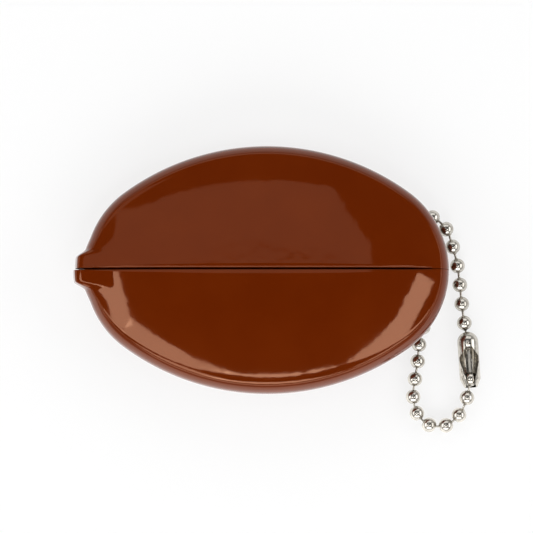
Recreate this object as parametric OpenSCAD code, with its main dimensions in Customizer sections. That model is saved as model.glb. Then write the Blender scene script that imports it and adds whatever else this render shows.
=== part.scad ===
// Squeeze coin purse: an oval moulded vinyl pouch with a slit front, on a loop of ball chain.
// It lies on its back, slit up. The origin is the middle of the flat rest face, +Z is up through the slit,
// +X runs along the slit towards the chain and +Y towards the upper half.

/* [Pouch] */
// Half of the pouch's length, without the nose
half_length = 38.5; // [36:0.5:41]
// Half of the pouch's width
half_width = 26.1; // [24.5:0.3:27]
// Radius of the outline's round ends
end_r = 20; // [18:0.5:21.5]
// Height of the front face over the rest face
pouch_h = 16; // [15:0.25:17.5]
// Thickness of the moulded wall
wall = 1.8; // [1.4:0.1:2.2]
// Height of the widest line of the side
rim_z = 10.5; // [9.5:0.25:11]
// Radius of the rounded side band
shoulder_r = 4.8; // [4:0.2:5.4]
// Steepness of the side band where it meets the front face, in degrees
crease_angle = 52; // [44:1:58]
// Distance from the outline to where the front face runs level
front_run = 20; // [16:0.5:24]
// How far the flat rest face stays clear of the centres of the round ends
flat_margin = 0.6; // [0.4:0.1:2]
// Steepness of the belly where it leaves the rest face, in degrees
flat_angle = 8.6; // [6:0.2:10]

/* [Slit and folds] */
// Width of the slit with the pouch closed
slit_w = 0.4; // [0.3:0.05:0.6]
// Height of the fold line where a half bends away from the back
fold_z = 2.6; // [2.2:0.1:3.2]
// Height of the uncut end wall under the slit
end_wall_z = 9.6; // [8.5:0.1:9.8]
// Gap between a half and the back along their dividing line
fold_gap = 0.3; // [0.2:0.05:0.4]

/* [Nose] */
// Distance from the outline to the tip of the nose
nose_out = 2.2; // [1.5:0.1:3]
// Width of each of the two ears of the nose
ear_w = 3; // [2.4:0.1:3.6]
// How much longer the lower ear is
lower_ear_extra = 0.4; // [0:0.1:0.8]
// Radius of the ears' outer corners
ear_corner_r = 0.8; // [0.5:0.1:1.1]
// Radius of the hollow curve between an ear and the outline
ear_blend_r = 2; // [1.5:0.1:2.5]
// Height of the underside of the nose
nose_z = 9.7; // [9.65:0.05:10.2]
// Height of the top of the nose
nose_top_z = 13; // [12:0.1:13.4]

/* [Chain loop on the back] */
// Distance from the middle of the pouch to the loop's bore, along the pouch
loop_x = 36.3; // [36:0.1:36.6]
// The same distance across the pouch
loop_y = -0.6; // [-0.8:0.1:-0.4]
// Thickness of the loop
loop_t = 2; // [1.6:0.1:2.2]
// Radius of the loop's bore
loop_bore_r = 1.85; // [1.8:0.05:1.9]
// Width of the leg that carries the loop, from its inner side
loop_leg_w = 3; // [2.4:0.1:3.6]
// Height of the leg over the bore's axis
loop_leg_h = 3.4; // [2.8:0.1:3.8]
// Wall round the bore
loop_wall = 0.75; // [0.6:0.05:0.75]
// Turn of the bore away from straight across the pouch, in degrees
loop_turn = 20; // [15:1:25]

/* [Ball chain] */
// Diameter of a bead
bead_d = 3.2; // [3:0.05:3.3]
// Thickness of a bead's sheet metal
bead_wall = 0.2; // [0.15:0.01:0.25]
// Diameter of the hole at each end of a bead
bead_hole_d = 1.3; // [1.2:0.02:1.36]
// Diameter of a pin's shaft
pin_d = 0.5; // [0.44:0.02:0.56]
// Diameter of a pin's heads
pin_head_d = 1.44; // [1.4:0.02:1.5]
// Distance between the centres of a pin's two heads
pin_l = 2.2; // [2.1:0.02:2.26]

/* [Connector] */
// Thickness of the connector's sheet metal
connector_t = 0.3; // [0.2:0.05:0.35]
// Radial clearance of a bead in the connector
connector_clear = 0.35; // [0.25:0.05:0.4]
// Distance from the lower seat to the connector's flat end
connector_tail = 1.85; // [1.8:0.05:2.2]
// Radius of the flat end
connector_end_r = 1.4; // [1.2:0.1:1.6]
// Width of the slots that the pins leave through
pin_slot_w = 2.1; // [1.8:0.1:2.4]
// Width of the window at its widest point
window_w = 4.1; // [3.6:0.1:4.2]

/* [Hidden] */
$fn = 96;
// Longer than any piece, for cuts that run right through
far = 60;

// The outline is an oval of four arcs. The two long arcs have radius side_r about the points side_off away
// from the middle, across the pouch.
end_x = half_length - end_r;
side_r = (end_x * end_x + half_width * half_width - end_r * end_r) / (2 * (half_width - end_r));
side_off = side_r - half_width;
side_angle = atan(end_x / side_off);

// The belly's arc leaves the rest face at flat_angle and touches the side band's arc from inside.
flat_run = end_r - flat_margin;
belly_r = (pow(flat_run - shoulder_r, 2) + rim_z * rim_z - shoulder_r * shoulder_r)
    / (2 * (rim_z * cos(flat_angle) - shoulder_r - (flat_run - shoulder_r) * sin(flat_angle)));
belly_centre = [flat_run + belly_r * sin(flat_angle), belly_r * cos(flat_angle)];
shoulder_centre = [shoulder_r, rim_z];
belly_touch = turn_of(shoulder_centre - belly_centre);

// The front face rises from the crease as an arc that ends level.
crease_d = shoulder_r * (1 - cos(crease_angle));
crease_z = rim_z + shoulder_r * sin(crease_angle);
front_rise = pouch_h - crease_z;
front_r = (pow(front_run - crease_d, 2) + front_rise * front_rise) / (2 * front_rise);
front_centre = [front_run, pouch_h - front_r];

// Steps along each stretch of the section and of the outline
belly_steps = 5;
shoulder_steps = 7;
front_steps = 6;
end_steps = 7;
side_steps = 16;

// A station's front line ends on the slit at this share of the station's own distance along the pouch.
slit_share = 0.9;

// The fold line is where the dividing plane meets the belly's outside in the middle of the pouch.
fold_d = belly_centre[0] - sqrt(belly_r * belly_r - pow(belly_centre[1] - fold_z, 2));
fold_y = half_width - fold_d;
divide_slope = (end_wall_z - fold_z) / fold_y;

bead_r = bead_d / 2;
connector_r = bead_r + connector_clear + connector_t;
loop_r = loop_bore_r + loop_wall;
// The loop stays this far off the table.
loop_lift = 0.05;
loop_z = loop_r + loop_lift;

// The window is widest over window_flat, at window_share of the way between the seats. It narrows to
// window_end_w, at window_reach past the lower seat.
window_share = 0.46;
window_flat = 1;
window_reach = 1.3;
window_end_w = 1.3;

// Where the beads lie, in order from the connector round to the connector again: x, y and rise off the floor.
loop_rise = loop_z - bead_r;
seat_rise = connector_r - bead_r;
BEADS = [
    [43, -15, seat_rise], [42.3, -10.9, seat_rise / 2], [41.8, -6.8, 0], [41.4, -2.7, 0],
    [40.9, 1.4, 0], [39.9, 5.5, 0], [38.5, 9.3, 0], [35.6, 11.8, 0], [32.1, 11.4, 0],
    [30, 8.6, 0], [30.6, 5.1, 0], [33.6, 2.4, loop_rise / 2],
    [loop_x, loop_y, loop_rise], [36.1, -4.6, loop_rise / 2], [34.8, -8.2, 0], [33.5, -11.8, 0],
    [32.6, -15.5, 0], [32.3, -19.1, 0], [31.7, -22.9, 0], [31.3, -26.7, 0], [32.1, -30.2, 0],
    [34.7, -32.7, 0], [38.3, -32.8, 0], [41.1, -30.6, 0], [42.8, -26.9, seat_rise / 2],
    [43.5, -22.9, seat_rise]
];
bead_count = len(BEADS);

function two(n) = n < 10 ? str("0", n) : str(n);
BEAD_NODES = [for (i = [1:bead_count]) str("bead_", two(i))];
PIN_NODES = [for (i = [1:bead_count - 1]) str("pin_", two(i))];

function unit(v) = v / norm(v);
function bead_at(i) = [BEADS[i][0], BEADS[i][1], bead_r + BEADS[i][2]];
function link(i) = unit(bead_at(i + 1) - bead_at(i));
// A bead's holes lie along the middle direction of the two links that meet in it.
function bead_dir(i) = i == 0 ? link(0) : i == bead_count - 1 ? link(i - 1) : unit(link(i - 1) + link(i));
// How far a pin's heads lie from the centres of the beads that hold them, so that the pin keeps its length.
function head_in(i) = (norm(bead_at(i + 1) - bead_at(i)) - pin_l)
    / (link(i) * bead_dir(i) + link(i) * bead_dir(i + 1));
function pin_start(i) = bead_at(i) + head_in(i) * bead_dir(i);
function pin_end(i) = bead_at(i + 1) - head_in(i) * bead_dir(i + 1);

seat_a = bead_at(0);
seat_b = bead_at(bead_count - 1);
seat_gap = norm(seat_b - seat_a);

// Turns +Z to the direction v
module along(v) {
    rotate([0, acos(v[2] / norm(v)), atan2(v[1], v[0])]) children();
}

function turn_of(v) = let (t = atan2(v[1], v[0])) t < 0 ? t + 360 : t;
function on_arc(c, r, t) = c + r * [cos(t), sin(t)];

// Where the side band and the front face meet, both inset by t
function crease(t) =
    let (
        u = front_centre - shoulder_centre,
        a = (pow(shoulder_r - t, 2) - pow(front_r - t, 2) + u * u) / (2 * norm(u)),
        side = sqrt(pow(shoulder_r - t, 2) - a * a)
    )
    shoulder_centre + a * unit(u) + side * unit([u[1], -u[0]]);

// Side of the section, inset by t: the belly for q from 0 to 1 and the side band for q from 1 to 2.
// It gives the distance in from the outline and the height.
function side_at(t, q) =
    let (
        flat = 180 + asin((belly_centre[1] - t) / (belly_r - t)),
        top = turn_of(crease(t) - shoulder_centre)
    )
    q < 1 ? on_arc(belly_centre, belly_r - t, flat + (belly_touch - flat) * q)
        : on_arc(shoulder_centre, shoulder_r - t, belly_touch + (top - belly_touch) * (q - 1));

// Height of the front, inset by t, at the distance d in from the outline
function front_at(t, d) =
    d > front_run ? pouch_h - t : front_centre[1] + sqrt(pow(front_r - t, 2) - pow(front_run - d, 2));

// Stations round the part of the outline with y over 0: each is a point and the direction inwards
function station(c, r, t) = [c + r * [cos(t), sin(t)], -[cos(t), sin(t)]];
STATIONS = concat(
    [for (i = [0:end_steps - 1]) station([end_x, 0], end_r, (90 - side_angle) * i / end_steps)],
    [for (i = [0:side_steps]) station([0, -side_off], side_r, 90 + side_angle * (2 * i / side_steps - 1))],
    [for (i = [1:end_steps]) station([-end_x, 0], end_r, 90 + side_angle + (90 - side_angle) * i / end_steps)]
);
last = len(STATIONS) - 1;

// Distance in from the outline of a point of the plan
function inset_at(p) =
    (abs(p[0]) - end_x) * side_off > p[1] * end_x ? end_r - norm([abs(p[0]) - end_x, p[1]])
        : side_r - norm([p[0], p[1] + side_off]);

// The side of the section at the station s, in space
function side_point(s, t, q) = let (v = side_at(t, q), p = s[0] + v[0] * s[1]) [p[0], p[1], v[1]];

// Where the side at the station s meets the dividing plane, lowered by gap
function divide_q(s, t, gap, lo = 0, hi = 2, left = 24) =
    let (mid = (lo + hi) / 2, p = side_point(s, t, mid))
    left == 0 ? mid
        : p[2] + divide_slope * p[1] > end_wall_z - gap ? divide_q(s, t, gap, lo, mid, left - 1)
        : divide_q(s, t, gap, mid, hi, left - 1);

// The front at the station s runs from the crease to its place on the slit.
function front_point(s, t, share) =
    let (
        start = s[0] + crease(t)[0] * s[1],
        p = start + share * ([s[0][0] * slit_share, 0] - start)
    )
    [p[0], p[1], front_at(t, max(inset_at(p), crease(t)[0]))];

// One face of a half's wall at the station s, from the dividing plane to the slit
function half_face(s, t) =
    let (low = divide_q(s, t, 0), steps = belly_steps + shoulder_steps)
    concat(
        [for (i = [0:steps - 1]) side_point(s, t, low + (2 - low) * i / steps)],
        [for (i = [0:front_steps]) front_point(s, t, i / front_steps)]
    );

function reversed(v) = [for (i = [len(v) - 1:-1:0]) v[i]];
function flat_list(v) = [for (row = v) each row];

// Skins a row of rings with as many points each. A closed row joins its last ring to its first.
function skin(rows, size, closed) = [
    for (i = [0:rows - (closed ? 1 : 2)]) for (j = [0:size - 1])
        let (a = i * size, b = (i + 1) % rows * size, k = (j + 1) % size)
        each [[a + j, a + k, b + k], [a + j, b + k, b + j]]
];

// Closes a row at the ring that starts at the point first
function cap(size, first, turned) = [
    for (j = [0:size / 2 - 2])
        let (a = first + j, b = first + size - 1 - j)
        each turned ? [[a, b, b - 1], [a, b - 1, a + 1]] : [[a, b - 1, b], [a, a + 1, b - 1]]
];

module half_shell() {
    rings = [for (s = STATIONS) concat(half_face(s, 0), reversed(half_face(s, wall)))];
    size = len(rings[0]);
    translate([0, slit_w / 2, 0]) polyhedron(
        flat_list(rings),
        concat(
            skin(len(rings), size, false),
            cap(size, 0, true),
            cap(size, last * size, false)
        )
    );
}

// Outline of one ear of the nose, for the half with y over 0
module ear_outline(extra) {
    tip = -half_length - nose_out - extra;
    root = nose_out + extra + wall / 2;
    difference() {
        union() {
            translate([tip, slit_w / 2]) square([root, ear_w - ear_corner_r]);
            translate([tip + ear_corner_r, slit_w / 2]) square([root - ear_corner_r, ear_w]);
            translate([tip + ear_corner_r, slit_w / 2 + ear_w - ear_corner_r]) circle(ear_corner_r);
            translate([tip + 2 * ear_corner_r, slit_w / 2])
                square([root - 2 * ear_corner_r, ear_w + ear_blend_r]);
        }
        translate([tip + 2 * ear_corner_r, slit_w / 2 + ear_w + ear_blend_r]) circle(ear_blend_r);
    }
}

module half(extra) {
    union() {
        half_shell();
        translate([0, 0, nose_z]) linear_extrude(nose_top_z - nose_z) ear_outline(extra);
    }
}

module upper_half() {
    color("#6a2800") half(0);
}

module lower_half() {
    color("#6a2800") mirror([0, 1, 0]) half(lower_ear_extra);
}

// The moulded loop under the right end that the chain runs through
module chain_loop() {
    color("#7a3208") translate([loop_x, loop_y, loop_z]) rotate([0, 0, loop_turn]) difference() {
        union() {
            rotate([90, 0, 0]) cylinder(r = loop_r, h = loop_t, center = true);
            translate([-loop_r, -loop_t / 2, 0]) cube([loop_leg_w, loop_t, loop_leg_h]);
        }
        rotate([90, 0, 0]) cylinder(r = loop_bore_r, h = 3 * loop_t, center = true);
    }
}

// One face of the back's wall at the station s, from the rest face up to the dividing plane
function back_face(s, t) =
    let (high = divide_q(s, t, fold_gap))
    [for (i = [0:belly_steps]) side_point(s, t, high * i / belly_steps)];

// True of the quads between the outer and the inner flat, which are left out because the two flats close
// the shell.
function is_flat_edge(f, size) = let (m = [for (v = f) v % size]) min(m) == 0 && max(m) == size - 1;

module back_shell() {
    lower = [for (i = [last - 1:-1:1]) STATIONS[i]];
    flip = [[1, 0, 0], [0, -1, 0], [0, 0, 1]];
    rings = concat(
        [for (s = STATIONS) concat(back_face(s, 0), reversed(back_face(s, wall)))],
        [for (s = lower) [for (p = concat(back_face(s, 0), reversed(back_face(s, wall)))) flip * p]]
    );
    size = len(rings[0]);
    rows = len(rings);
    color("#7a3208") polyhedron(
        flat_list(rings),
        concat(
            [for (f = skin(rows, size, true)) if (!(is_flat_edge(f, size))) f],
            [[for (i = [0:rows - 1]) i * size], [for (i = [rows - 1:-1:0]) i * size + size - 1]]
        )
    );
}
module bead(i) {
    color("#c8c8c8") translate(bead_at(i)) along(bead_dir(i)) difference() {
        sphere(bead_r);
        sphere(bead_r - bead_wall);
        cylinder(d = bead_hole_d, h = 2 * bead_d, center = true);
    }
}

module pin(i) {
    run = pin_end(i) - pin_start(i);
    color("#b0b0b0") translate(pin_start(i)) along(run) union() {
        cylinder(d = pin_d, h = norm(run));
        sphere(d = pin_head_d);
        translate([0, 0, norm(run)]) sphere(d = pin_head_d);
    }
}

// Outside of the connector, shrunk by t: a dome at seat A, a barrel, and a taper to the flat end past seat B
module connector_body(t) {
    r = connector_r - t;
    rotate_extrude() intersection() {
        union() {
            circle(r);
            square([r, seat_gap]);
            translate([0, seat_gap]) polygon([
                [0, 0],
                [r, 0],
                [connector_end_r - t / 2, connector_tail - t],
                [0, connector_tail - t]
            ]);
        }
        translate([0, -far]) square([far, 2 * far]);
    }
}

module chain_connector() {
    window_mid = seat_gap * window_share;
    window_end = seat_gap - window_mid + window_reach;
    color("#bdbdbd") translate(seat_a) along(seat_b - seat_a) difference() {
        connector_body(0);
        connector_body(connector_t);
        // The window faces up, and up is -X in this turned frame
        translate([0, 0, window_mid]) rotate([0, -90, 0]) linear_extrude(far) polygon([
            [-window_mid, 0],
            [-window_flat / 2, window_w / 2],
            [window_flat / 2, window_w / 2],
            [window_end, window_end_w / 2],
            [window_end, -window_end_w / 2],
            [window_flat / 2, -window_w / 2],
            [-window_flat / 2, -window_w / 2]
        ]);
        translate([-pin_slot_w / 4, -pin_slot_w / 2, -far]) cube([pin_slot_w / 2, pin_slot_w, far]);
        translate([-far, -pin_slot_w / 2, seat_gap + connector_tail - 2 * connector_t])
            cube([far + pin_slot_w / 4, pin_slot_w, far]);
    }
}

back_shell();
chain_loop();
upper_half();
lower_half();
chain_connector();
for (i = [0:bead_count - 1]) bead(i);
for (i = [0:bead_count - 2]) pin(i);
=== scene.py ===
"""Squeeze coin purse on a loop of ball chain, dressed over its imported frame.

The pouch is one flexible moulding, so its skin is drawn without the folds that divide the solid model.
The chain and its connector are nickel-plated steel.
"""

import logging
import math
from dataclasses import dataclass, field
from enum import Enum

import bmesh
import bpy
from mathutils import Matrix, Vector


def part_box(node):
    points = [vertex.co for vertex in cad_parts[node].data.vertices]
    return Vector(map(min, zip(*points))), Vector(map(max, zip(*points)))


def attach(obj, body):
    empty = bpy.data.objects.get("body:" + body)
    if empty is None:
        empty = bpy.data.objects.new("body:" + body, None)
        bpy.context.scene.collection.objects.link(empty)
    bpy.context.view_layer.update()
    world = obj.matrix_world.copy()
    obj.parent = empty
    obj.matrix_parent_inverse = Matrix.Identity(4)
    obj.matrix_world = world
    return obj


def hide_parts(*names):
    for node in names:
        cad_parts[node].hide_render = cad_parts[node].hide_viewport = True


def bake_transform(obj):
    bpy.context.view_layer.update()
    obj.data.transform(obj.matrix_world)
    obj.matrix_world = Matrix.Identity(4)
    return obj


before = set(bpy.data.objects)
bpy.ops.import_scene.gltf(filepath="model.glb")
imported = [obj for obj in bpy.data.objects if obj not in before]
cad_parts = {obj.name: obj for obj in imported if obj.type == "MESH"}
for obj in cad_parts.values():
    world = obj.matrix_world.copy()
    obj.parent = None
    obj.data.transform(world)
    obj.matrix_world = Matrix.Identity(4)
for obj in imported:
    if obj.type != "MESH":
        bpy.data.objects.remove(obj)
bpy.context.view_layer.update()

LOG = logging.getLogger("coin_purse")
MM = 0.001
# Vertices closer together than this, in metres, are merged.
MERGE_DISTANCE = 2e-6
WHITE = (1.0, 1.0, 1.0, 1.0)
# The vertices of a sheet, by station and by place along the station's ring
Grid = dict[tuple[int, int], bmesh.types.BMVert]


class Side(Enum):
    """The two halves of the front, named for the side of the slit that they lie on."""

    UPPER = 1
    LOWER = -1


def linear(code: str) -> tuple[float, float, float, float]:
    """Turn an sRGB hex value into a linear colour.

    Args:
        code: Six hex digits, with or without a leading #.

    Returns:
        Red, green, blue and alpha, all linear.
    """
    parts = [int(code.lstrip("#")[i:i + 2], 16) / 255 for i in (0, 2, 4)]
    red, green, blue = (c / 12.92 if c <= 0.04045 else ((c + 0.055) / 1.055) ** 2.4 for c in parts)
    return red, green, blue, 1.0


def ease(share: float) -> float:
    """Turn a share from 0 to 1 into a smooth step, clamped at both ends."""
    share = min(1.0, max(0.0, share))
    return share * share * (3 - 2 * share)


def node(tree: bpy.types.NodeTree, kind: str, settings: dict[str, object],
         links: dict[str, bpy.types.NodeSocket]) -> bpy.types.Node:
    """Add one shader node.

    Args:
        tree: The node tree that takes it.
        kind: The node's type name.
        settings: Attributes to set, or socket values where the key names an input.
        links: Input names, each with the output socket that feeds it.

    Returns:
        The new node.
    """
    made = tree.nodes.new(kind)
    for key, value in settings.items():
        if key in made.inputs.keys():
            made.inputs[key].default_value = value
        else:
            setattr(made, key, value)
    for key, socket in links.items():
        tree.links.new(socket, made.inputs[key])
    return made


def arithmetic(tree: bpy.types.NodeTree, operation: str,
               *terms: bpy.types.NodeSocket | float) -> bpy.types.NodeSocket:
    """Add a math node.

    Args:
        tree: The node tree that takes it.
        operation: What it does with its terms.
        *terms: Numbers, or the output sockets that feed it, in order.

    Returns:
        The result's socket.
    """
    made = node(tree, "ShaderNodeMath", {"operation": operation}, {})
    for socket, term in zip(made.inputs, terms):
        if isinstance(term, bpy.types.NodeSocket):
            tree.links.new(term, socket)
        else:
            socket.default_value = term
    return made.outputs[0]


def mixed(tree: bpy.types.NodeTree, share: bpy.types.NodeSocket, first: bpy.types.NodeSocket,
          second: bpy.types.NodeSocket) -> bpy.types.NodeSocket:
    """Mix two shaders.

    Args:
        tree: The node tree that takes the mix.
        share: The second shader's share.
        first: The first shader.
        second: The second shader.

    Returns:
        The mix's socket.
    """
    made = node(tree, "ShaderNodeMixShader", {}, {})
    for socket, source in zip(made.inputs, (share, first, second)):
        tree.links.new(source, socket)
    return made.outputs[0]


def mapped(tree: bpy.types.NodeTree, value: bpy.types.NodeSocket, source: tuple[float, float],
           target: tuple[float, float]) -> bpy.types.NodeSocket:
    """Carry a value from one range over to another, clamped at both ends.

    Args:
        tree: The node tree that takes the node.
        value: The value's socket.
        source: The range that it comes from.
        target: The range that it goes to.

    Returns:
        The result's socket.
    """
    settings = {"From Min": source[0], "From Max": source[1], "To Min": target[0], "To Max": target[1]}
    return node(tree, "ShaderNodeMapRange", settings, {"Value": value}).outputs["Result"]


def grain(tree: bpy.types.NodeTree, size_mm: float, detail: float) -> bpy.types.NodeSocket:
    """Add a noise that is fixed to the object.

    Args:
        tree: The node tree that takes it.
        size_mm: Size of the largest patches.
        detail: How many finer layers lie over them.

    Returns:
        The noise's socket, from 0 to 1.
    """
    place = node(tree, "ShaderNodeTexCoord", {}, {})
    made = node(tree, "ShaderNodeTexNoise", {"Scale": 1 / (size_mm * MM), "Detail": detail},
                {"Vector": place.outputs["Object"]})
    return made.outputs["Fac"]


def ramped(tree: bpy.types.NodeTree, value: bpy.types.NodeSocket,
           stops: tuple[tuple[float, str], ...]) -> bpy.types.NodeSocket:
    """Turn a value into a colour.

    Args:
        tree: The node tree that takes the colour ramp.
        value: The value's socket.
        stops: Place and sRGB hex value of each stop, in order.

    Returns:
        The colour's socket.
    """
    made = node(tree, "ShaderNodeValToRGB", {}, {"Fac": value})
    elements = made.color_ramp.elements
    while len(elements) < len(stops):
        elements.new(0.5)
    for element, (place, code) in zip(elements, stops):
        element.position = place
        element.color = linear(code)
    return made.outputs["Color"]


def bumped(tree: bpy.types.NodeTree, height: bpy.types.NodeSocket, strength: float,
           distance_mm: float) -> bpy.types.NodeSocket:
    """Turn a height into a bent normal.

    Args:
        tree: The node tree that takes the bump.
        height: The height's socket, from 0 to 1.
        strength: The share of the bend that is kept.
        distance_mm: What a height of 1 stands for.

    Returns:
        The normal's socket.
    """
    settings = {"Strength": strength, "Distance": distance_mm * MM}
    return node(tree, "ShaderNodeBump", settings, {"Height": height}).outputs["Normal"]


def blank_material(name: str) -> tuple[bpy.types.Material, bpy.types.NodeTree]:
    """Make a material with an empty node tree.

    Args:
        name: The material's name.

    Returns:
        The material and its tree.
    """
    material = bpy.data.materials.new(name)
    material.use_nodes = True
    material.node_tree.nodes.clear()
    return material, material.node_tree


def surface(tree: bpy.types.NodeTree, settings: dict[str, object], colour: bpy.types.NodeSocket,
            roughness: bpy.types.NodeSocket, normal: bpy.types.NodeSocket) -> None:
    """Close a material's tree with its surface shader.

    Args:
        tree: The material's node tree.
        settings: Socket values of the shader.
        colour: The colour's socket.
        roughness: The roughness's socket.
        normal: The bent normal's socket.
    """
    links = {"Base Color": colour, "Roughness": roughness, "Normal": normal}
    shader = node(tree, "ShaderNodeBsdfPrincipled", settings, links)
    node(tree, "ShaderNodeOutputMaterial", {}, {"Surface": shader.outputs["BSDF"]})


@dataclass(frozen=True)
class MouldedVinyl:
    """Soft PVC, moulded and glossy: an even dark brown with a clear, slightly wavy shine."""

    name: str = "glossy_moulded_vinyl"
    colours: tuple[tuple[float, str], ...] = ((0.35, "#5e1e01"), (0.68, "#622102"))
    shine: tuple[float, float, float, float] = (1.0, 0.55, 0.34, 1.0)
    refraction: float = 1.5
    cloud_mm: float = 11.0
    ripple_mm: float = 2.6
    ripple_height_mm: float = 0.2
    ripple_strength: float = 0.05
    wear_mm: float = 6.0
    wear_range: tuple[float, float] = (0.3, 0.8)
    roughness: float = 0.035
    wear_roughness: float = 0.03

    def build(self) -> bpy.types.Material:
        """Build the vinyl.

        Returns:
            The finished material.
        """
        material, tree = blank_material(self.name)
        colour = ramped(tree, grain(tree, self.cloud_mm, detail=3.0), self.colours)
        # Moulded vinyl is never quite flat: a faint ripple bends its reflections.
        ripple = grain(tree, self.ripple_mm, detail=1.0)
        normal = bumped(tree, ripple, self.ripple_strength, self.ripple_height_mm)
        # Handling leaves faint dull patches on the gloss.
        wear = grain(tree, self.wear_mm, detail=6.0)
        span = (self.roughness, self.roughness + self.wear_roughness)
        roughness = mapped(tree, wear, self.wear_range, span)
        settings = {"IOR": self.refraction, "Specular Tint": self.shine}
        surface(tree, settings, colour, roughness, normal)
        return material


@dataclass(frozen=True)
class NickelPlate:
    """Bright nickel plate on pressed steel: a warm grey mirror, a little dulled by rubbing."""

    name: str = "bright_nickel_plate"
    colours: tuple[tuple[float, str], ...] = ((0.3, "#aaa59c"), (0.6, "#cbc6bd"))
    rub_mm: float = 0.9
    rub_height_mm: float = 0.05
    rub_strength: float = 0.06
    rub_range: tuple[float, float] = (0.3, 0.8)
    roughness: float = 0.12
    rub_roughness: float = 0.14

    def build(self) -> bpy.types.Material:
        """Build the plate.

        Returns:
            The finished material.
        """
        material, tree = blank_material(self.name)
        rub = grain(tree, self.rub_mm, detail=4.0)
        colour = ramped(tree, rub, self.colours)
        span = (self.roughness, self.roughness + self.rub_roughness)
        roughness = mapped(tree, rub, self.rub_range, span)
        normal = bumped(tree, rub, self.rub_strength, self.rub_height_mm)
        surface(tree, {"Metallic": 1.0}, colour, roughness, normal)
        return material


def dress(name: str, material: bpy.types.Material) -> None:
    """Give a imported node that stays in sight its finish.

    Args:
        name: The CAD node.
        material: The finish.
    """
    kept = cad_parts[name]
    if not kept.material_slots:
        kept.data.materials.append(material)
    for slot in kept.material_slots:
        slot.material = material


def finish_mesh(bm: bmesh.types.BMesh, name: str, material: bpy.types.Material,
                sharp_deg: float) -> bpy.types.Object:
    """Turn a bmesh into a smooth-shaded object at the origin.

    Args:
        bm: The shape, in metres. It is freed.
        name: The object's name.
        material: Its material.
        sharp_deg: Edges steeper than this stay sharp.

    Returns:
        The new object.
    """
    bmesh.ops.remove_doubles(bm, verts=bm.verts, dist=MERGE_DISTANCE)
    bmesh.ops.recalc_face_normals(bm, faces=bm.faces)
    mesh = bpy.data.meshes.new(name)
    bm.to_mesh(mesh)
    bm.free()
    for polygon in mesh.polygons:
        polygon.use_smooth = True
    mesh.set_sharp_from_angle(angle=math.radians(sharp_deg))
    mesh.materials.append(material)
    made = bpy.data.objects.new(name, mesh)
    bpy.context.collection.objects.link(made)
    return made


@dataclass(frozen=True)
class Outline:
    """The pouch's outline from above without its nose: an oval of four arcs, in millimetres."""

    half_length: float = 38.5
    half_width: float = 26.1
    end_r: float = 20.0

    @property
    def end_x(self) -> float:
        """Give the distance from the middle to the centre of an end's arc."""
        return self.half_length - self.end_r

    @property
    def side_r(self) -> float:
        """Give the radius of a long side's arc."""
        squares = self.end_x ** 2 + self.half_width ** 2 - self.end_r ** 2
        return squares / (2 * (self.half_width - self.end_r))

    @property
    def side_off(self) -> float:
        """Give how far a long side's centre lies beyond the middle, away from that side."""
        return self.side_r - self.half_width

    @property
    def side_angle(self) -> float:
        """Give half of a long side's arc, in degrees."""
        return math.degrees(math.atan2(self.end_x, self.side_off))

    def depth_at(self, spot: Vector) -> float:
        """Give the distance in from the outline of a point of the plan.

        Args:
            spot: The point, on the side where y isn't negative.

        Returns:
            The distance.
        """
        if (abs(spot.x) - self.end_x) * self.side_off > spot.y * self.end_x:
            return self.end_r - math.hypot(abs(spot.x) - self.end_x, spot.y)
        return self.side_r - math.hypot(spot.x, spot.y + self.side_off)


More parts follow.
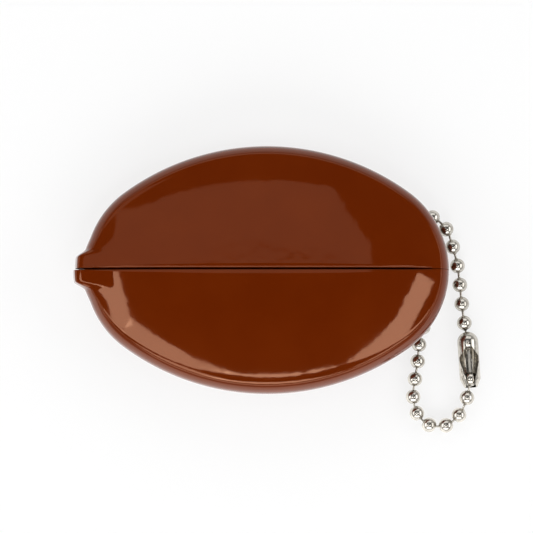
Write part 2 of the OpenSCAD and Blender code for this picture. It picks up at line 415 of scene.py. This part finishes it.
@dataclass(frozen=True)
class Section:
    """The section square to the outline, in millimetres: distance in from the outline, and height.

    The belly's arc leaves the flat rest face and touches the side band's arc from inside. The front's arc
    rises from the band at the crease and ends level.
    """

    wall: float = 1.8
    height: float = 16.0
    rim_z: float = 10.5
    band_r: float = 4.8
    crease_angle: float = 52.0
    front_run: float = 20.0
    flat_run: float = 19.4
    flat_angle: float = 8.6

    @property
    def band_centre(self) -> tuple[float, float]:
        """Give the centre of the side band's arc."""
        return self.band_r, self.rim_z

    @property
    def belly_r(self) -> float:
        """Give the radius of the belly's arc, which follows from its two ends.

        Returns:
            The radius.
        """
        run = self.flat_run - self.band_r
        lean = math.radians(self.flat_angle)
        squares = run ** 2 + self.rim_z ** 2 - self.band_r ** 2
        return squares / (2 * (self.rim_z * math.cos(lean) - self.band_r - run * math.sin(lean)))

    @property
    def belly_centre(self) -> tuple[float, float]:
        """Give the centre of the belly's arc."""
        lean = math.radians(self.flat_angle)
        return self.flat_run + self.belly_r * math.sin(lean), self.belly_r * math.cos(lean)

    @property
    def belly_touch(self) -> float:
        """Give the direction in which the belly's arc touches the side band's, in degrees."""
        across, up = (b - a for a, b in zip(self.belly_centre, self.band_centre))
        return math.degrees(math.atan2(up, across)) % 360

    @property
    def front_r(self) -> float:
        """Give the radius of the front's arc, which follows from the crease and the level end.

        Returns:
            The radius.
        """
        steep = math.radians(self.crease_angle)
        run = self.front_run - self.band_r * (1 - math.cos(steep))
        rise = self.height - self.rim_z - self.band_r * math.sin(steep)
        return (run ** 2 + rise ** 2) / (2 * rise)

    def crease(self, inset: float) -> tuple[float, float]:
        """Find where the side band and the front meet.

        Args:
            inset: How far inside the outer face the section lies.

        Returns:
            Distance in from the outline, and height.
        """
        ux = self.front_run - self.band_centre[0]
        uz = self.height - self.front_r - self.band_centre[1]
        span = math.hypot(ux, uz)
        small, big = self.band_r - inset, self.front_r - inset
        along = (small * small - big * big + span * span) / (2 * span)
        aside = math.sqrt(small * small - along * along)
        return (self.band_centre[0] + (along * ux + aside * uz) / span,
                self.band_centre[1] + (along * uz - aside * ux) / span)

    def front_z(self, inset: float, depth: float) -> float:
        """Give the front's height.

        Args:
            inset: How far inside the outer face the section lies.
            depth: The distance in from the outline.

        Returns:
            The height.
        """
        if depth > self.front_run:
            return self.height - inset
        rise = math.sqrt((self.front_r - inset) ** 2 - (self.front_run - depth) ** 2)
        return self.height - self.front_r + rise

    def side(self, inset: float, belly_steps: int, band_steps: int) -> list[tuple[float, float]]:
        """Walk from the rest face up the belly and the side band to the crease.

        Args:
            inset: How far inside the outer face the walk lies.
            belly_steps: Steps along the belly.
            band_steps: Steps along the side band.

        Returns:
            Distance in from the outline and height of each point.
        """
        crease, band = self.crease(inset), self.band_centre
        foot = 180 + math.degrees(math.asin((self.belly_centre[1] - inset) / (self.belly_r - inset)))
        touch = self.belly_touch
        top = math.degrees(math.atan2(crease[1] - band[1], crease[0] - band[0]))
        walk = [(self.belly_centre, self.belly_r - inset, foot + (touch - foot) * i / belly_steps)
                for i in range(belly_steps)]
        walk += [(band, self.band_r - inset, touch + (top - touch) * i / band_steps)
                 for i in range(band_steps + 1)]
        return [(centre[0] + radius * math.cos(math.radians(turn)),
                 centre[1] + radius * math.sin(math.radians(turn))) for centre, radius, turn in walk]


@dataclass(frozen=True)
class Nose:
    """How the pouch's left end is drawn out into the two ears of the nose, in millimetres.

    Away from the slit, an ear ends over side_run past side_from, and root_share of it over root_run past
    root_from. It begins at under_z and stands fully out under_run higher. On top it fades over back_run and
    ends at back_depth in from the outline. From crease_run in, it reaches crease_extra further.
    """

    side_from: float = 2.3
    side_run: float = 1.9
    root_from: float = 3.0
    root_run: float = 4.2
    root_share: float = 0.2
    under_z: float = 8.6
    under_run: float = 1.4
    back_depth: float = 6.2
    back_run: float = 3.8
    crease_extra: float = 0.38
    crease_run: float = 1.8

    def draw(self, point: Vector, depth: float, reach: float) -> float:
        """Give how far the nose draws a point of the outer face out past the outline.

        Args:
            point: The point.
            depth: Its distance in from the outline.
            reach: How far the nose stands out at the slit.

        Returns:
            The distance towards -X.
        """
        if point.x > 0:
            return 0.0
        side = ease(1 - (point.y - self.side_from) / self.side_run)
        root = ease(1 - (point.y - self.root_from) / self.root_run)
        across = side * (1 - self.root_share) + root * self.root_share
        up = ease((point.z - self.under_z) / self.under_run)
        # The ear's top runs level almost to its edge, so the crease moves further out than the outline does.
        crease = 1 + self.crease_extra * ease(depth / self.crease_run)
        return reach * across * up * ease((self.back_depth - depth) / self.back_run) * crease


@dataclass(frozen=True)
class Slit:
    """The slit along the front, in millimetres.

    Its end walls are uncut up to end_wall_z. The gap opens over rise_run, from rise_below under that height.
    It narrows over close_run towards close_past beyond the right end, down to least_share of its width.
    Beside it the front falls off at ridge_slope, and levels out over about ridge_run.
    """

    width: float = 0.4
    length_share: float = 0.9
    end_wall_z: float = 9.6
    rise_below: float = 0.6
    rise_run: float = 0.9
    close_past: float = 1.0
    close_run: float = 9.0
    least_share: float = 0.25
    ridge_slope: float = 0.0105
    ridge_run: float = 6.0

    def half_gap(self, x: float, z: float, half_length: float) -> float:
        """Give half the slit's width.

        Args:
            x: Place along the pouch.
            z: Height.
            half_length: Half of the pouch's length.

        Returns:
            How far the half stands off the middle plane.
        """
        rise = ease((z - self.end_wall_z + self.rise_below) / self.rise_run)
        close = (half_length + self.close_past - x) / self.close_run
        return self.width / 2 * rise * min(1.0, max(self.least_share, close))

    def ridge_drop(self, y: float) -> float:
        """Give how far the front falls from its low ridge along the slit, at a distance from the middle."""
        return self.ridge_slope * self.ridge_run * (1 - math.exp(-y / self.ridge_run))


@dataclass(frozen=True)
class Half:
    """What sets one half of the front apart from the other, in millimetres."""

    side: Side
    skin_name: str
    body: str
    replaced: tuple[str, ...]
    nose_reach: float
    lip_bevel: float


UPPER_HALF = Half(Side.UPPER, "pouch_upper_skin", "upper_half", ("upper_half", "back_shell"),
                  nose_reach=2.15, lip_bevel=0.4)
LOWER_HALF = Half(Side.LOWER, "pouch_lower_skin", "lower_half", ("lower_half",),
                  nose_reach=2.55, lip_bevel=0.08)


@dataclass
class Pouch:
    """The oval vinyl pouch: two mirrored skins that meet under the back and at the slit, in millimetres."""

    vinyl: bpy.types.Material
    lining: bpy.types.Material
    outline: Outline = field(default_factory=Outline)
    section: Section = field(default_factory=Section)
    nose: Nose = field(default_factory=Nose)
    slit: Slit = field(default_factory=Slit)
    fold_z: float = 2.6
    bend_reach: float = 1.4
    crease_bevel: float = 0.22
    bevel_steps: int = 3
    cap_corners: int = 8
    sharp_deg: float = 32.0
    end_steps: int = 30
    nose_steps: int = 60
    side_steps: int = 60
    flat_steps: int = 6
    belly_steps: int = 16
    band_steps: int = 20
    front_steps: int = 26

    @property
    def divide_slope(self) -> float:
        """Give how steeply the plane that divides a half from the back falls towards the fold.

        Returns:
            Its fall for each millimetre across the pouch.
        """
        centre_depth, centre_z = self.section.belly_centre
        fold_depth = centre_depth - math.sqrt(self.section.belly_r ** 2 - (centre_z - self.fold_z) ** 2)
        return (self.slit.end_wall_z - self.fold_z) / (self.outline.half_width - fold_depth)

    def stations(self) -> list[tuple[Vector, Vector]]:
        """Step round the outline from the chain's end to the nose.

        Returns:
            A point of the outline and the direction inwards at each step.
        """
        oval = self.outline
        side, rest = oval.side_angle, 90 - oval.side_angle
        spots = [(oval.end_x, 0.0, oval.end_r, rest * i / self.end_steps) for i in range(self.end_steps)]
        spots += [(0.0, -oval.side_off, oval.side_r, 90 + side * (2 * i / self.side_steps - 1))
                  for i in range(self.side_steps + 1)]
        spots += [(-oval.end_x, 0.0, oval.end_r, 180 - rest + rest * i / self.nose_steps)
                  for i in range(1, self.nose_steps + 1)]
        out = []
        for x, y, radius, turn in spots:
            way = Vector((math.cos(math.radians(turn)), math.sin(math.radians(turn))))
            out.append((Vector((x, y)) + radius * way, -way))
        return out

    def face_line(self, spot: Vector, way: Vector, inset: float) -> list[Vector]:
        """Walk one face of the wall at a station, from the middle of the back to the slit.

        Args:
            spot: The station's point on the outline.
            way: The direction inwards there.
            inset: 0 for the outer face, the wall's thickness for the inner one.

        Returns:
            The points.
        """
        side = self.section.side(inset, self.belly_steps, self.band_steps)
        foot_depth, foot_z = side[0]
        foot = spot + foot_depth * way
        line = [Vector((foot.x, foot.y * i / self.flat_steps, foot_z)) for i in range(self.flat_steps)]
        for depth, height in side:
            flat = spot + depth * way
            line.append(Vector((flat.x, flat.y, height)))
        crease_depth = side[-1][0]
        start, end = spot + crease_depth * way, Vector((spot.x * self.slit.length_share, 0.0))
        for i in range(1, self.front_steps + 1):
            flat = start.lerp(end, i / self.front_steps)
            height = self.section.front_z(inset, max(self.outline.depth_at(flat), crease_depth))
            line.append(Vector((flat.x, flat.y, height - self.slit.ridge_drop(flat.y))))
        return line

    def rings(self, reach: float) -> list[list[Vector]]:
        """Walk the wall at every station, along the outer face to the slit and back along the inner one.

        Args:
            reach: How far the ear of the nose stands out of the outline.

        Returns:
            The points of each station.
        """
        out = []
        for spot, way in self.stations():
            outer = self.face_line(spot, way, 0.0)
            for point in outer:
                point.x -= self.nose.draw(point, self.outline.depth_at(point.xy), reach)
            inner = self.face_line(spot, way, self.section.wall)
            out.append(outer + inner[::-1])
        return out

    def sheet(self, half: Half) -> tuple[bmesh.types.BMesh, Grid]:
        """Lay faces over the rings, with a ring at each station.

        Args:
            half: Which half.

        Returns:
            The sheet and its vertices.
        """
        rings = self.rings(half.nose_reach)
        rows, size = len(rings), len(rings[0])
        bm = bmesh.new()
        bmesh.ops.create_grid(bm, x_segments=rows - 1, y_segments=size, size=1.0)
        grid: Grid = {}
        for vert in bm.verts:
            i = round((vert.co.x + 1) / 2 * (rows - 1))
            j = round((vert.co.y + 1) / 2 * size)
            grid[i, j] = vert
        for (i, j), vert in grid.items():
            point = rings[i][j % size]
            y = point.y + self.slit.half_gap(point.x, point.z, self.outline.half_length)
            vert.co = Vector((point.x, half.side.value * y, point.z)) * MM
        bmesh.ops.remove_doubles(bm, verts=bm.verts, dist=MERGE_DISTANCE)
        return bm, grid

    def round_over(self, bm: bmesh.types.BMesh, grid: Grid, line: int, width: float) -> None:
        """Round over the edges that run along the pouch at one place of the rings.

        Args:
            bm: The sheet.
            grid: Its vertices.
            line: The place along the rings.
            width: How far the rounding reaches to each side.
        """
        on_line = {vert for (_, j), vert in grid.items() if j == line and vert.is_valid}
        edges = [edge for edge in bm.edges if on_line.issuperset(edge.verts)]
        bmesh.ops.bevel(bm, geom=edges, offset=width * MM, offset_type="OFFSET", segments=self.bevel_steps,
                        profile=0.5, affect="EDGES", material=-1)

    def close_ends(self, bm: bmesh.types.BMesh) -> None:
        """Cap the sheet at its first and last stations. Only these caps have more than cap_corners corners.

        Args:
            bm: The sheet.
        """
        open_edges = [edge for edge in bm.edges if edge.is_boundary]
        bmesh.ops.holes_fill(bm, edges=open_edges, sides=0)
        caps = [face for face in bm.faces if len(face.verts) > self.cap_corners]
        bmesh.ops.triangulate(bm, faces=caps)

    def line_inside(self, skin: bpy.types.Object) -> None:
        """Give the lining to the faces that look at the middle of the pouch.

        Args:
            skin: The skin.
        """
        skin.data.materials.append(self.lining)
        middle = Vector((0.0, 0.0, self.slit.end_wall_z)) * MM
        for polygon in skin.data.polygons:
            if polygon.normal.dot(middle - polygon.center) > 0:
                polygon.material_index = 1

    def skin(self, half: Half) -> bpy.types.Object:
        """Build one half's skin, with its share of the back.

        Args:
            half: Which half.

        Returns:
            The skin.
        """
        bm, grid = self.sheet(half)
        crease = self.flat_steps + self.belly_steps + self.band_steps
        lip = crease + self.front_steps
        self.round_over(bm, grid, crease, self.crease_bevel)
        self.round_over(bm, grid, lip, half.lip_bevel)
        self.close_ends(bm)
        made = finish_mesh(bm, half.skin_name, self.vinyl, self.sharp_deg)
        self.line_inside(made)
        return made

    def build(self) -> None:
        """Build both skins and hide the imported parts that they stand in for."""
        for half in (UPPER_HALF, LOWER_HALF):
            body, names = half.body, half.replaced
            skin = self.skin(half)
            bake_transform(skin)
            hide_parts(*names)
            LOG.info("%s with %d faces", skin.name, len(skin.data.polygons))
        dress("chain_loop", self.vinyl)


@dataclass
class BallChain:
    """The loop of ball chain with its connector, in nickel plate, in millimetres.

    A bead has bead_rings rings of faces from pole to pole. The hole_rings nearest to each pole are left out,
    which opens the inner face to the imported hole's radius of 0.65.
    """

    nickel: bpy.types.Material
    bead_count: int = 26
    bead_r: float = 1.6
    bead_wall: float = 0.2
    bead_columns: int = 36
    bead_rings: int = 26
    hole_rings: int = 4
    bead_sharp_deg: float = 60.0
    connector_sharp_deg: float = 28.0

    def centre(self, number: int) -> Vector:
        """Give a bead's centre from the frame, in metres."""
        low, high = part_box(f"bead_{number:02d}")
        return (Vector(low) + Vector(high)) / 2

    def heading(self, number: int) -> Vector:
        """Give the direction of a bead's holes: the middle of the links that meet in it.

        Args:
            number: Its place along the chain, from 1.

        Returns:
            The direction, with a length of 1.
        """
        out = Vector((0.0, 0.0, 0.0))
        if number > 1:
            out += (self.centre(number) - self.centre(number - 1)).normalized()
        if number < self.bead_count:
            out += (self.centre(number + 1) - self.centre(number)).normalized()
        return out.normalized()

    def bead(self, number: int) -> bpy.types.Object:
        """Build one hollow bead with its two holes.

        Args:
            number: Its place along the chain, from 1.

        Returns:
            The bead.
        """
        radius = self.bead_r * MM
        bm = bmesh.new()
        bmesh.ops.create_uvsphere(bm, u_segments=self.bead_columns, v_segments=self.bead_rings, radius=radius)
        edge = radius * math.cos(math.pi * self.hole_rings / self.bead_rings)
        caps = [face for face in bm.faces if abs(face.calc_center_median().z) > edge]
        bmesh.ops.delete(bm, geom=caps, context="FACES")
        turn = Vector((0, 0, 1)).rotation_difference(self.heading(number)).to_matrix()
        bmesh.ops.rotate(bm, verts=bm.verts, cent=(0, 0, 0), matrix=turn)
        bmesh.ops.translate(bm, verts=bm.verts, vec=self.centre(number))
        made = finish_mesh(bm, f"nickel_bead_{number:02d}", self.nickel, self.bead_sharp_deg)
        wall = made.modifiers.new("wall", "SOLIDIFY")
        wall.thickness = self.bead_wall * MM
        wall.offset = -1.0
        return made

    def smooth_connector(self) -> bpy.types.Object:
        """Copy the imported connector, merge it and shade it smooth.

        Returns:
            The copy.
        """
        bm = bmesh.new()
        bm.from_mesh(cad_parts["chain_connector"].data)
        return finish_mesh(bm, "snap_connector", self.nickel, self.connector_sharp_deg)

    def build(self) -> None:
        """Build the beads and the connector and give the pins their plate."""
        for number in range(1, self.bead_count + 1):
            bead = self.bead(number)
            body = f"bead_{number:02d}"
            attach(bead, body)
            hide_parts(body)
        connector = self.smooth_connector()
        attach(connector, "chain_connector")
        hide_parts("chain_connector")
        for number in range(1, self.bead_count):
            dress(f"pin_{number:02d}", self.nickel)
        LOG.info("%d beads, %d pins and %s", self.bead_count, self.bead_count - 1, connector.name)


def area_light(name: str, size: tuple[float, float], radiance: float) -> bpy.types.Object:
    """Make one rectangular soft light.

    Args:
        name: The light's name.
        size: Its extent along its own X and Y, in metres.
        radiance: How bright its face is, where 1 is white.

    Returns:
        The light, at the origin and facing down.
    """
    data = bpy.data.lights.new(name, "AREA")
    data.shape = "RECTANGLE"
    data.size, data.size_y = size
    data.energy = radiance * math.pi * size[0] * size[1]
    made = bpy.data.objects.new(name, data)
    bpy.context.collection.objects.link(made)
    return made


@dataclass(frozen=True)
class Lamp:
    """A soft light that faces the object.

    Its zenith is from straight up and its azimuth from +X, in degrees. Its distance, its width round the
    object and its height up the slope are in metres. A radiance of 1 is white.
    """

    name: str
    zenith: float
    azimuth: float
    distance: float
    size: tuple[float, float]
    radiance: float

    def build(self) -> None:
        """Hang the lamp."""
        z, a = math.radians(self.zenith), math.radians(self.azimuth)
        way = Vector((math.sin(z) * math.cos(a), math.sin(z) * math.sin(a), math.cos(z)))
        across = Vector((-math.sin(a), math.cos(a), 0.0))
        turn = Matrix((across, way.cross(across), way)).transposed()
        made = area_light(self.name, self.size, self.radiance)
        made.matrix_world = Matrix.Translation(way * self.distance) @ turn.to_4x4()


@dataclass(frozen=True)
class Panel:
    """A level panel that shines straight down, in metres. A radiance of 1 is white."""

    name: str
    centre: tuple[float, float, float]
    size: tuple[float, float]
    radiance: float

    def build(self) -> None:
        """Hang the panel."""
        area_light(self.name, self.size, self.radiance).location = self.centre


# Small boxes, a strip and a faint panel, which the glossy front reflects, and broad lights round the sides
LIGHTS = (
    Lamp("box_right", zenith=19.4, azimuth=-29.0, distance=1.2, size=(0.46, 0.11), radiance=6.2),
    Lamp("box_left", zenith=20.6, azimuth=196.0, distance=1.2, size=(0.30, 0.11), radiance=5.6),
    Lamp("box_lower_left", zenith=19.8, azimuth=235.2, distance=1.2, size=(0.30, 0.10), radiance=5.6),
    Lamp("strip_bottom", zenith=19.2, azimuth=-88.0, distance=1.2, size=(0.34, 0.04), radiance=8.0),
    Panel("faint_panel", centre=(-0.15, 0.268, 1.2), size=(0.6, 0.356), radiance=0.75),
    Lamp("broad_top", zenith=52.0, azimuth=90.0, distance=1.0, size=(1.2, 0.5), radiance=1.2),
    Lamp("broad_bottom", zenith=55.0, azimuth=-90.0, distance=1.0, size=(1.2, 0.5), radiance=3.4),
    Lamp("broad_right", zenith=55.0, azimuth=0.0, distance=1.0, size=(0.9, 0.5), radiance=2.1),
    Lamp("broad_left", zenith=55.0, azimuth=180.0, distance=1.0, size=(0.9, 0.5), radiance=2.1),
)


@dataclass(frozen=True)
class Floor:
    """A plain white floor that keeps the soft shadow.

    The camera and reflections see glow_share of it as a glow. For reflections the glow is near_glow on the
    near side and far_glow on the far side: painted light, standing in for lamps that light the near floor
    more brightly. It changes over edge_m, measured towards the far side from a line through the middle that
    slants by slant.
    """

    colour: str = "#f4f4f4"
    half_m: float = 1.5
    drop_mm: float = 0.02
    glow_share: float = 0.72
    near_glow: float = 2.6
    far_glow: float = 1.1
    edge_m: tuple[float, float] = (-0.05, 0.0)
    slant: float = 0.3

    def glow_strength(self, tree: bpy.types.NodeTree,
                      by_camera: bpy.types.NodeSocket) -> bpy.types.NodeSocket:
        """Work out how strongly the floor glows.

        Args:
            tree: The floor's node tree.
            by_camera: 1 where the camera looks, 0 elsewhere.

        Returns:
            The strength's socket: 1 for the camera, and by place for reflections.
        """
        place = node(tree, "ShaderNodeNewGeometry", {}, {})
        split = node(tree, "ShaderNodeSeparateXYZ", {}, {"Vector": place.outputs["Position"]})
        along = arithmetic(tree, "MULTIPLY_ADD", split.outputs["X"], self.slant, split.outputs["Y"])
        # Painted light: reflections see the near side of the floor glowing brighter, as if it were lit more
        # strongly there.
        reflected = mapped(tree, along, self.edge_m, (self.near_glow, self.far_glow))
        links = {"Value": by_camera, "To Min": reflected}
        return node(tree, "ShaderNodeMapRange", {"To Max": 1.0}, links).outputs["Result"]

    def build(self) -> None:
        """Lay the floor."""
        material, tree = blank_material("white_paper_floor")
        path = node(tree, "ShaderNodeLightPath", {}, {})
        by_camera = path.outputs["Is Camera Ray"]
        seen = arithmetic(tree, "MAXIMUM", by_camera, path.outputs["Is Glossy Ray"])
        share = arithmetic(tree, "MULTIPLY", seen, self.glow_share)
        paper = node(tree, "ShaderNodeBsdfDiffuse", {"Color": linear(self.colour)}, {})
        glow = node(tree, "ShaderNodeEmission", {"Color": WHITE},
                    {"Strength": self.glow_strength(tree, by_camera)})
        mix = mixed(tree, share, paper.outputs[0], glow.outputs[0])
        node(tree, "ShaderNodeOutputMaterial", {}, {"Surface": mix})
        bm = bmesh.new()
        bmesh.ops.create_grid(bm, x_segments=1, y_segments=1, size=self.half_m)
        bmesh.ops.translate(bm, verts=bm.verts, vec=(0.0, 0.0, -self.drop_mm * MM))
        finish_mesh(bm, "floor", material, sharp_deg=30.0)


@dataclass(frozen=True)
class Studio:
    """Floor, world, lights and camera, at the photograph's angle and scale."""

    px_mm: float = 0.2117
    image_px: int = 533
    distance_mm: float = 620.0
    elevation_deg: float = 86.5
    aim: tuple[float, float, float] = (-0.1, 0.72, 10.5)
    sensor_mm: float = 36.0
    room_strength: float = 0.6
    room: tuple[tuple[float, str], ...] = (
        (0.0, "#ffffff"), (0.35, "#e8e8e8"), (0.8, "#7a7a7a"), (1.0, "#303030"))

    def world(self) -> None:
        """Surround the stage with a dim ceiling and a paler horizon, and white where the camera looks."""
        world = bpy.data.worlds.new("studio_world")
        world.use_nodes = True
        tree = world.node_tree
        tree.nodes.clear()
        place = node(tree, "ShaderNodeTexCoord", {}, {})
        split = node(tree, "ShaderNodeSeparateXYZ", {}, {"Vector": place.outputs["Generated"]})
        colour = ramped(tree, split.outputs["Z"], self.room)
        room = node(tree, "ShaderNodeBackground", {"Strength": self.room_strength}, {"Color": colour})
        white = node(tree, "ShaderNodeBackground", {"Color": WHITE, "Strength": 1.0}, {})
        path = node(tree, "ShaderNodeLightPath", {}, {})
        mix = mixed(tree, path.outputs["Is Camera Ray"], room.outputs[0], white.outputs[0])
        node(tree, "ShaderNodeOutputWorld", {}, {"Surface": mix})
        bpy.context.scene.world = world

    def camera(self) -> None:
        """Set the camera."""
        data = bpy.data.cameras.new("camera")
        made = bpy.data.objects.new("camera", data)
        bpy.context.collection.objects.link(made)
        tilt = math.radians(90 - self.elevation_deg)
        aim = Vector(self.aim) * MM
        made.location = aim + Vector((0.0, -math.sin(tilt), math.cos(tilt))) * self.distance_mm * MM
        made.rotation_euler = (tilt, 0.0, 0.0)
        data.sensor_fit = "HORIZONTAL"
        data.sensor_width = self.sensor_mm
        data.lens = self.sensor_mm * self.distance_mm / (self.px_mm * self.image_px)
        bpy.context.scene.camera = made

    def build(self) -> None:
        """Build the whole stage."""
        Floor().build()
        self.world()
        for light in LIGHTS:
            light.build()
        self.camera()
        bpy.context.scene.view_settings.view_transform = "Standard"
        LOG.info("floor, world, lights and camera")


def main() -> None:
    """Build the stage, the pouch and the chain."""
    logging.basicConfig(level=logging.INFO, format="%(name)s: %(message)s")
    Studio().build()
    inside = MouldedVinyl(name="matte_vinyl_inside", roughness=0.5)
    Pouch(MouldedVinyl().build(), inside.build()).build()
    BallChain(NickelPlate().build()).build()


if __name__ == "__main__":
    main()
